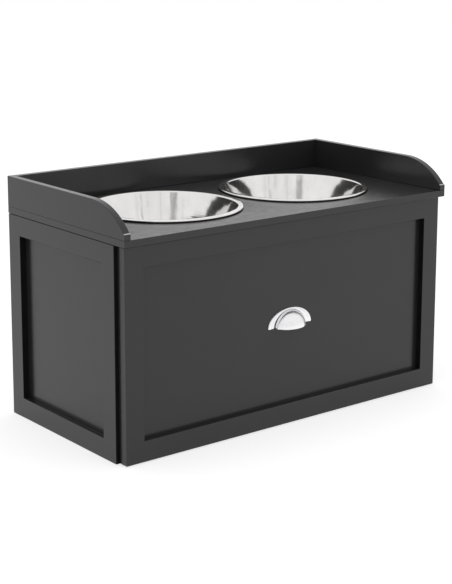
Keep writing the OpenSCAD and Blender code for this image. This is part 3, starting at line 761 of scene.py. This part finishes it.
def crosshead_screw(values, r_head, h_head, r_shank, reach, countersunk, sides=36):
    """A screw with its head's top up at z = 0 and a cross recess in it, as a bmesh."""
    flat_rim, dome_turn, dome_high = 0.12 * MM, 0.62, 0.75
    longest_arm, arm_width, floor_size = 0.8, 0.3, 0.6
    work = bmesh.new()
    if countersunk:
        head = [(r_head, 0.0), (r_head, -flat_rim)]
    else:
        dome = [math.pi / 2 * (1 - i / 5) * dome_turn for i in range(6)]
        head = [(r_head * math.cos(a), -h_head * dome_high * (1 - math.sin(a))) for a in dome]
        head.append((r_head, -h_head))
    rings = head + [(r_shank, -h_head), (r_shank, -reach + r_shank)]
    r_top, top = rings[0]
    loops = [[work.verts.new(point) for point in round_points(r, z, sides)] for r, z in rings]
    for one, two in zip(loops, loops[1:]):
        for i in range(sides):
            work.faces.new([one[i], two[i], two[(i + 1) % sides], one[(i + 1) % sides]])
    tip = work.verts.new((0, 0, -reach))
    last = loops[-1]
    for i in range(sides):
        work.faces.new([last[i], tip, last[(i + 1) % sides]])
    half = min(values.recess / 2, r_top * longest_arm)
    arm = half * arm_width
    outline = [
        (half, -arm), (half, arm), (arm, arm), (arm, half), (-arm, half), (-arm, arm),
        (-half, arm), (-half, -arm), (-arm, -arm), (-arm, -half), (arm, -half), (arm, -arm),
    ]
    mouth = [work.verts.new((x, y, top)) for x, y in outline]
    depth = top - values.recess_depth
    floor = [work.verts.new((x * floor_size, y * floor_size, depth)) for x, y in outline]
    count = len(outline)
    rim = [work.edges.get((loops[0][i], loops[0][(i + 1) % sides])) for i in range(sides)]
    cross = [work.edges.new((mouth[i], mouth[(i + 1) % count])) for i in range(count)]
    bmesh.ops.triangle_fill(work, use_beauty=True, edges=rim + cross)
    for i in range(count):
        work.faces.new([mouth[i], mouth[(i + 1) % count], floor[(i + 1) % count], floor[i]])
    work.faces.new(floor)
    bmesh.ops.recalc_face_normals(work, faces=work.faces)
    return work


def fitted_screw(values, points):
    """A crosshead screw in the place of one CAD screw, whose sizes are read from that screw's points."""
    level_slack, radius_slack, thickest_rim = 0.02 * MM, 0.05 * MM, 0.2 * MM
    low, high = (Vector([pick(p[i] for p in points) for i in range(3)]) for pick in (min, max))
    size, middle = high - low, (low + high) / 2
    axis = max(range(3), key=lambda i: size[i])

    def radius(point):
        across = [i for i in range(3) if i != axis]
        return math.dist([point[i] for i in across], [middle[i] for i in across])

    low_end, high_end = (
        max(radius(p) for p in points if abs(p[axis] - level) < level_slack)
        for level in (low[axis], high[axis])
    )
    head_up = high_end > low_end
    top = high[axis] if head_up else low[axis]
    r_head, r_shank = max(low_end, high_end), min(low_end, high_end)
    wide = [abs(p[axis] - top) for p in points if radius(p) > r_head - radius_slack]
    thin = [abs(p[axis] - top) for p in points if radius(p) < r_shank + radius_slack]
    countersunk = max(wide) < thickest_rim
    h_head = min(thin) if countersunk else max(wide)
    screw = crosshead_screw(values, r_head, h_head, r_shank, size[axis], countersunk)
    out = Vector((0, 0, 0))
    out[axis] = 1 if head_up else -1
    spot = middle.copy()
    spot[axis] = top
    screw.transform(Matrix.Translation(spot) @ out.to_track_quat("Z", "Y").to_matrix().to_4x4())
    return screw


class FEEDER_OT_screws(bpy.types.Operator):
    """Makes every screw with a cross recess in its head, where the frame has that screw"""

    bl_idname = "feeder.screws"
    bl_label = "Screws"

    def execute(self, context):
        values = context.scene.feeder_metal
        zinc = bpy.data.materials["zinc_plate"]
        for name in SCREWS:
            joined = bmesh.new()
            for points in islands(name):
                screw = fitted_screw(values, points)
                part = bpy.data.meshes.new("part")
                screw.to_mesh(part)
                screw.free()
                joined.from_mesh(part)
                bpy.data.meshes.remove(part)
            mesh = bpy.data.meshes.new(name + "_crosshead")
            joined.to_mesh(mesh)
            joined.free()
            mesh.materials.append(zinc)
            piece = add_object(name + "_crosshead", mesh)
            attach(piece, NODE_BODY[name])
            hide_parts(name)
        return {"FINISHED"}


# Painted boards


class PaintedFrame:
    """A frame of stiles and rails round a sunk panel, and which of its faces are steps."""

    def __init__(self, axis, *members):
        self.axis = axis
        self.members = members
        self.boxes = {name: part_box(name) for name in members}
        self.low = Vector([min(low[i] for low, high in self.boxes.values()) for i in range(3)])
        self.high = Vector([max(high[i] for low, high in self.boxes.values()) for i in range(3)])

    def is_step(self, centre, normal):
        """Whether an upright face looks in towards the middle of the frame."""
        inset = 1 * MM
        towards = (self.low + self.high) / 2 - centre
        towards[self.axis] = 0
        inner = all(
            self.low[i] + inset < centre[i] < self.high[i] - inset
            for i in range(3) if abs(normal[i]) > FACING
        )
        upright = abs(normal[self.axis]) < FACING and abs(normal.z) < FACING
        return upright and inner and towards.dot(normal) > 0

    def is_joint(self, name, one, two):
        """Whether an edge lies against another member of the frame."""
        slack = 0.05 * MM
        for other, (low, high) in self.boxes.items():
            if other == name:
                continue
            if all(low[i] - slack < end[i] < high[i] + slack for end in (one, two) for i in range(3)):
                return True
        return False


FRAMES = [
    PaintedFrame(axis, *(start + part for part in parts))
    for axis, start, parts in (
        (0, "left_side_", ("front_stile", "rear_stile", "top_rail", "bottom_rail")),
        (0, "right_side_", ("front_stile", "rear_stile", "top_rail", "bottom_rail")),
        (1, "front_", ("left_stile", "right_stile", "top_rail", "bottom_rail")),
    )
]


def frame_of(name):
    """The frame that a node is a member of, or None."""
    for group in FRAMES:
        if name in group.members:
            return group
    return None


def outline_edges(work, name, group, values):
    """The free sharp edges of a board, without those of its screw holes and joints."""
    sharp = []
    for edge in work.edges:
        if len(edge.link_faces) != 2 or edge.calc_face_angle(0) < SHARP:
            continue
        ends = [corner.co for corner in edge.verts]
        if group and group.is_joint(name, *ends):
            continue
        if group and group.axis == 0 and min(end.z for end in ends) > group.high.z - ON_FACE:
            continue
        sharp.append(edge)
    wanted, left = [], set(sharp)
    while left:
        chain = [left.pop()]
        for edge in chain:
            for corner in edge.verts:
                for other in corner.link_edges:
                    if other in left:
                        left.remove(other)
                        chain.append(other)
        spots = [corner.co for edge in chain for corner in edge.verts]
        if max(max(p[i] for p in spots) - min(p[i] for p in spots) for i in range(3)) > values.least:
            wanted += chain
    return wanted


# Flat faces that meet are shaded as one where the dot product of their normals is above this
ALIKE = 0.82


def corner_normals(work, rounded):
    """A normal for every face corner: flat on the boards' faces, turning smoothly over rounded edges."""
    def blend(face, corner):
        total = Vector()
        for other in corner.link_faces:
            if other not in rounded and other.normal.dot(face.normal) > ALIKE:
                total += other.normal * other.calc_area()
        return total.normalized() if total.length else face.normal

    normals = []
    for face in work.faces:
        for loop in face.loops:
            corner = loop.vert
            if face not in rounded:
                normals.append(blend(face, corner))
                continue
            flats = [other for other in corner.link_faces if other not in rounded]
            if flats:
                nearest = max(flats, key=lambda other: other.normal.dot(face.normal))
                normals.append(blend(nearest, corner))
            else:
                normals.append(sum((other.normal for other in corner.link_faces), Vector()).normalized())
    return normals


def board_mesh(name, values):
    """A node's solid as clean faces, with its steps marked and its free edges rounded."""
    work = bmesh.new()
    work.from_mesh(NODES[name].data)
    bmesh.ops.remove_doubles(work, verts=work.verts, dist=1e-6)
    bmesh.ops.dissolve_limit(
        work, angle_limit=math.radians(0.5), use_dissolve_boundaries=False,
        verts=work.verts, edges=work.edges)
    group = frame_of(name)
    if group:
        for level in sorted({round(corner.z, 6) for ends in group.boxes.values() for corner in ends}):
            bmesh.ops.bisect_plane(
                work, geom=work.verts[:] + work.edges[:] + work.faces[:],
                plane_co=(0, 0, level), plane_no=(0, 0, 1), dist=1e-6)
        for face in work.faces:
            centre, normal = face.calc_center_median(), face.normal
            beside_drawer = normal.y < -FACING and centre.y < group.low.y + ON_FACE
            under_board = normal.z > FACING and centre.z > group.high.z - ON_FACE
            # Material 1 is painted shade: near-black colour on the steps, on the side's front edge beside
            # the drawer and on the side's top under the board
            face.material_index = int(
                group.is_step(centre, normal) or (group.axis == 0 and (beside_drawer or under_board)))
    wanted = outline_edges(work, name, group, values)
    if group and group.axis == 0:
        for vertex in work.verts:
            if vertex.co.z > group.high.z - ON_FACE:
                vertex.co.z -= values.seam
    made = bmesh.ops.bevel(
        work, geom=wanted, offset=values.arris, offset_type="OFFSET", segments=3, profile=0.5,
        affect="EDGES", clamp_overlap=True, material=-1)
    normals = corner_normals(work, set(made["faces"]))
    # Material 2 is a painted highlight on the strip on top of each nose
    if name in NOSED:
        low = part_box(name)[0]
        for face in work.faces:
            centre = face.calc_center_median()
            on_tip = centre.y < low.y + values.glint_strip and centre.z > low.z + values.glint_strip
            if on_tip and face.normal.z > SLOPE:
                face.material_index = 2
    mesh = bpy.data.meshes.new(name + "_painted")
    work.to_mesh(mesh)
    work.free()
    mesh.polygons.foreach_set("use_smooth", [True] * len(mesh.polygons))
    mesh.normals_split_custom_set(normals)
    return mesh


class FEEDER_OT_boards(bpy.types.Operator):
    """Paints the boards and frames of the cabinet and the drawer, with softened edges, painted shade on the
    steps and in the gaps, and a painted highlight on top of each nose
    """

    bl_idname = "feeder.boards"
    bl_label = "Painted boards"

    def execute(self, context):
        values = context.scene.feeder_paint
        paint, step_shade, glint = satin_paint(values), painted_step_shade(values), painted_glint_edge(values)
        for name in BOARDS:
            mesh = board_mesh(name, values)
            mesh.materials.append(paint)
            mesh.materials.append(step_shade)
            if name in NOSED:
                mesh.materials.append(glint)
            piece = add_object(name + "_painted", mesh)
            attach(piece, NODE_BODY[name])
            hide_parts(name)
        return {"FINISHED"}


class FEEDER_OT_fittings(bpy.types.Operator):
    """Plates the cam locks, cam bolts, brackets, runners and ball cages with zinc, and polishes the balls"""

    bl_idname = "feeder.fittings"
    bl_label = "Fittings and runners"

    def execute(self, context):
        values = context.scene.feeder_metal
        zinc = zinc_plate(values)
        give_finish(FITTINGS, zinc, values.sheet_edge)
        give_finish(RUNNERS, zinc, values.sheet_edge)
        give_finish(CAGES, zinc)
        give_finish(BALLS, hardened_steel(values))
        return {"FINISHED"}


class FEEDER_OT_dowels_and_bumpers(bpy.types.Operator):
    """Gives the dowels their timber and the bumpers their rubber"""

    bl_idname = "feeder.dowels_and_bumpers"
    bl_label = "Dowels and bumpers"

    def execute(self, context):
        values = context.scene.feeder_small
        give_finish(DOWELS, dowel_timber(values), 0.4 * MM)
        give_finish(("drawer_bumpers",), soft_rubber(values))
        return {"FINISHED"}


# Stage


def softbox(name, place, aim, width, height, power):
    """A soft oblong lamp, in metres and watts, that points at its aim and shows in no reflection."""
    lamp = bpy.data.lights.new(name, "AREA")
    lamp.shape = "RECTANGLE"
    lamp.size, lamp.size_y = width, height
    lamp.energy = power
    holder = add_object(name, lamp)
    holder.location = place
    holder.rotation_mode = "QUATERNION"
    holder.rotation_quaternion = (Vector(aim) - Vector(place)).to_track_quat("-Z", "Y")
    holder.visible_glossy = False


def seen_directly(tree):
    """One where a camera, glossy or transmission ray meets the shader, else zero."""
    path = tree.nodes.new("ShaderNodeLightPath").outputs
    seen = path["Is Camera Ray"]
    for name in ("Is Glossy Ray", "Is Transmission Ray"):
        seen = add_node(tree, "ShaderNodeMath", seen, path[name], operation="MAXIMUM").outputs[0]
    return seen


# The gaps fade in over the first two heights of a direction one long, and out over the last two
GAP_HEIGHTS = (0.12, 0.26, 0.38, 0.46)
# The gaps fade in over these shares of the way towards the camera's side
GAP_SIDE = (0.5, 0.7)
# Fineness of the gaps' pattern along X, Y and Z, and the grey values between which a gap ends
GAP_FINENESS = (7.5, 7.5, 3.0)
GAP_EDGE = (0.35, 0.46)


def set_world(values):
    """White all round; reflections also show the dark gaps between the lamps on the camera's side."""
    world = bpy.data.worlds.new("white_studio")
    bpy.context.scene.world = world
    tree = empty_tree(world)

    def add(kind, *sources, **settings):
        return add_node(tree, kind, *sources, **settings).outputs[0]

    def ramp(value, start, end, one=0.0, two=1.0):
        return add("ShaderNodeMapRange", value, start, end, one, two)

    def times(one, two):
        return add("ShaderNodeMath", one, two, operation="MULTIPLY")

    place = add_node(tree, "ShaderNodeTexCoord").outputs["Generated"]
    height = add_node(tree, "ShaderNodeSeparateXYZ", place).outputs["Z"]
    band = times(ramp(height, *GAP_HEIGHTS[:2]), ramp(height, *GAP_HEIGHTS[2:], 1.0, 0.0))
    camera_side = (math.sin(values.azimuth), -math.cos(values.azimuth), 0.0)
    towards = add_node(tree, "ShaderNodeVectorMath", place, camera_side, operation="DOT_PRODUCT")
    where = times(band, ramp(towards.outputs["Value"], *GAP_SIDE))
    stretched = add("ShaderNodeVectorMath", place, GAP_FINENESS, operation="MULTIPLY")
    stripes = add_node(tree, "ShaderNodeTexNoise", stretched, None, 1.0, 2.0, noise_dimensions="3D")
    gaps = ramp(stripes.outputs["Fac"], *GAP_EDGE, values.gap_light, 1.0)
    reflected = add("ShaderNodeMix", where, None, 1.0, gaps)

    path = tree.nodes.new("ShaderNodeLightPath").outputs
    level = add("ShaderNodeMix", path["Is Glossy Ray"], None, values.ambient, reflected)
    seen = add("ShaderNodeMath", path["Is Camera Ray"], path["Is Transmission Ray"], operation="MAXIMUM")
    strength = add("ShaderNodeMix", seen, None, level, 1.0)
    light = add("ShaderNodeBackground", (1.0, 1.0, 1.0, 1.0), strength)
    add_node(tree, "ShaderNodeOutputWorld", light)


def floor_material(values):
    """A pale floor that reads as white round the object and keeps the object's shadow."""
    material = bpy.data.materials.new("pale_floor")
    tree = empty_tree(material)
    lift = add_node(tree, "ShaderNodeMath", seen_directly(tree), values.lift, operation="MULTIPLY")
    matt = add_node(tree, "ShaderNodeBsdfDiffuse", (*values.floor, 1))
    glow = add_node(tree, "ShaderNodeEmission", (1, 1, 1, 1), lift.outputs[0])
    both = add_node(tree, "ShaderNodeAddShader", matt.outputs[0], glow.outputs[0])
    add_node(tree, "ShaderNodeOutputMaterial", both.outputs[0])
    return material


class FEEDER_OT_stage(bpy.types.Operator):
    """Sets the camera at the photograph's angle, soft lamps, a white surround and a pale floor"""

    bl_idname = "feeder.stage"
    bl_label = "Stage"

    def execute(self, context):
        scene = context.scene
        values = scene.feeder_stage
        scene.view_settings.view_transform = "Standard"

        a, e = values.azimuth, values.elevation
        back = Vector((math.sin(a) * math.cos(e), -math.cos(a) * math.cos(e), math.sin(e)))
        right = Vector((0, 0, 1)).cross(back).normalized()
        up = back.cross(right)
        spin = Matrix.Rotation(values.roll, 3, "Z")
        camera = bpy.data.cameras.new("camera")
        camera.lens = values.lens / MM
        camera.shift_y = values.shift
        camera.clip_end = 50.0
        holder = add_object("camera", camera)
        holder.matrix_world = Matrix.Translation(Vector(values.aim) + back * values.distance) @ (
            Matrix((right, up, back)).transposed() @ spin).to_4x4()
        scene.camera = holder

        set_world(values)
        middle = (0.0, 0.0, 0.2)
        softbox("key_lamp", (-2.4, -0.9, 1.6), middle, 1.6, 1.6, values.key_power)
        softbox("fill_lamp", (1.2, -2.8, 1.2), middle, 1.8, 1.8, values.fill_power)
        softbox("top_lamp", (0.0, 0.2, 2.6), middle, 2.2, 1.4, values.top_power)

        half, level = values.floor_size / 2, -0.2 * MM
        corners = [(-half, -half, level), (half, -half, level), (half, half, level), (-half, half, level)]
        floor = piece_from("floor", corners, [(0, 1, 2, 3)], floor_material(values))
        return {"FINISHED"}


class FEEDER_PT_panel(bpy.types.Panel):
    """Lists the feeder's settings and the operators that make its pieces"""

    bl_label = "Raised feeder"
    bl_idname = "FEEDER_PT_panel"
    bl_space_type = "VIEW_3D"
    bl_region_type = "UI"
    bl_category = "Feeder"

    def draw(self, context):
        for operator, group in OPERATORS.items():
            box = self.layout.box()
            if group:
                settings = getattr(context.scene, group)
                for key in GROUPS[group].__annotations__:
                    box.prop(settings, key)
            box.operator(operator.bl_idname)


# Each operator, in the order they run, and its settings
OPERATORS = {
    FEEDER_OT_stage: "feeder_stage",
    FEEDER_OT_boards: "feeder_paint",
    FEEDER_OT_fittings: "feeder_metal",
    FEEDER_OT_screws: None,
    FEEDER_OT_dowels_and_bumpers: "feeder_small",
    FEEDER_OT_bowls: "feeder_bowl",
    FEEDER_OT_cup_pull: "feeder_pull",
}
CLASSES = (*GROUPS.values(), *OPERATORS, FEEDER_PT_panel)


def register():
    for item in CLASSES:
        bpy.utils.register_class(item)
    for name, group in GROUPS.items():
        setattr(bpy.types.Scene, name, PointerProperty(type=group))


def unregister():
    for name in GROUPS:
        delattr(bpy.types.Scene, name)
    for item in reversed(CLASSES):
        bpy.utils.unregister_class(item)


def main():
    register()
    for operator in OPERATORS:
        group, name = operator.bl_idname.split(".")
        done = getattr(getattr(bpy.ops, group), name)()
        if done != {"FINISHED"}:
            raise RuntimeError(operator.bl_idname + " did not finish")


if __name__ == "__main__":
    main()
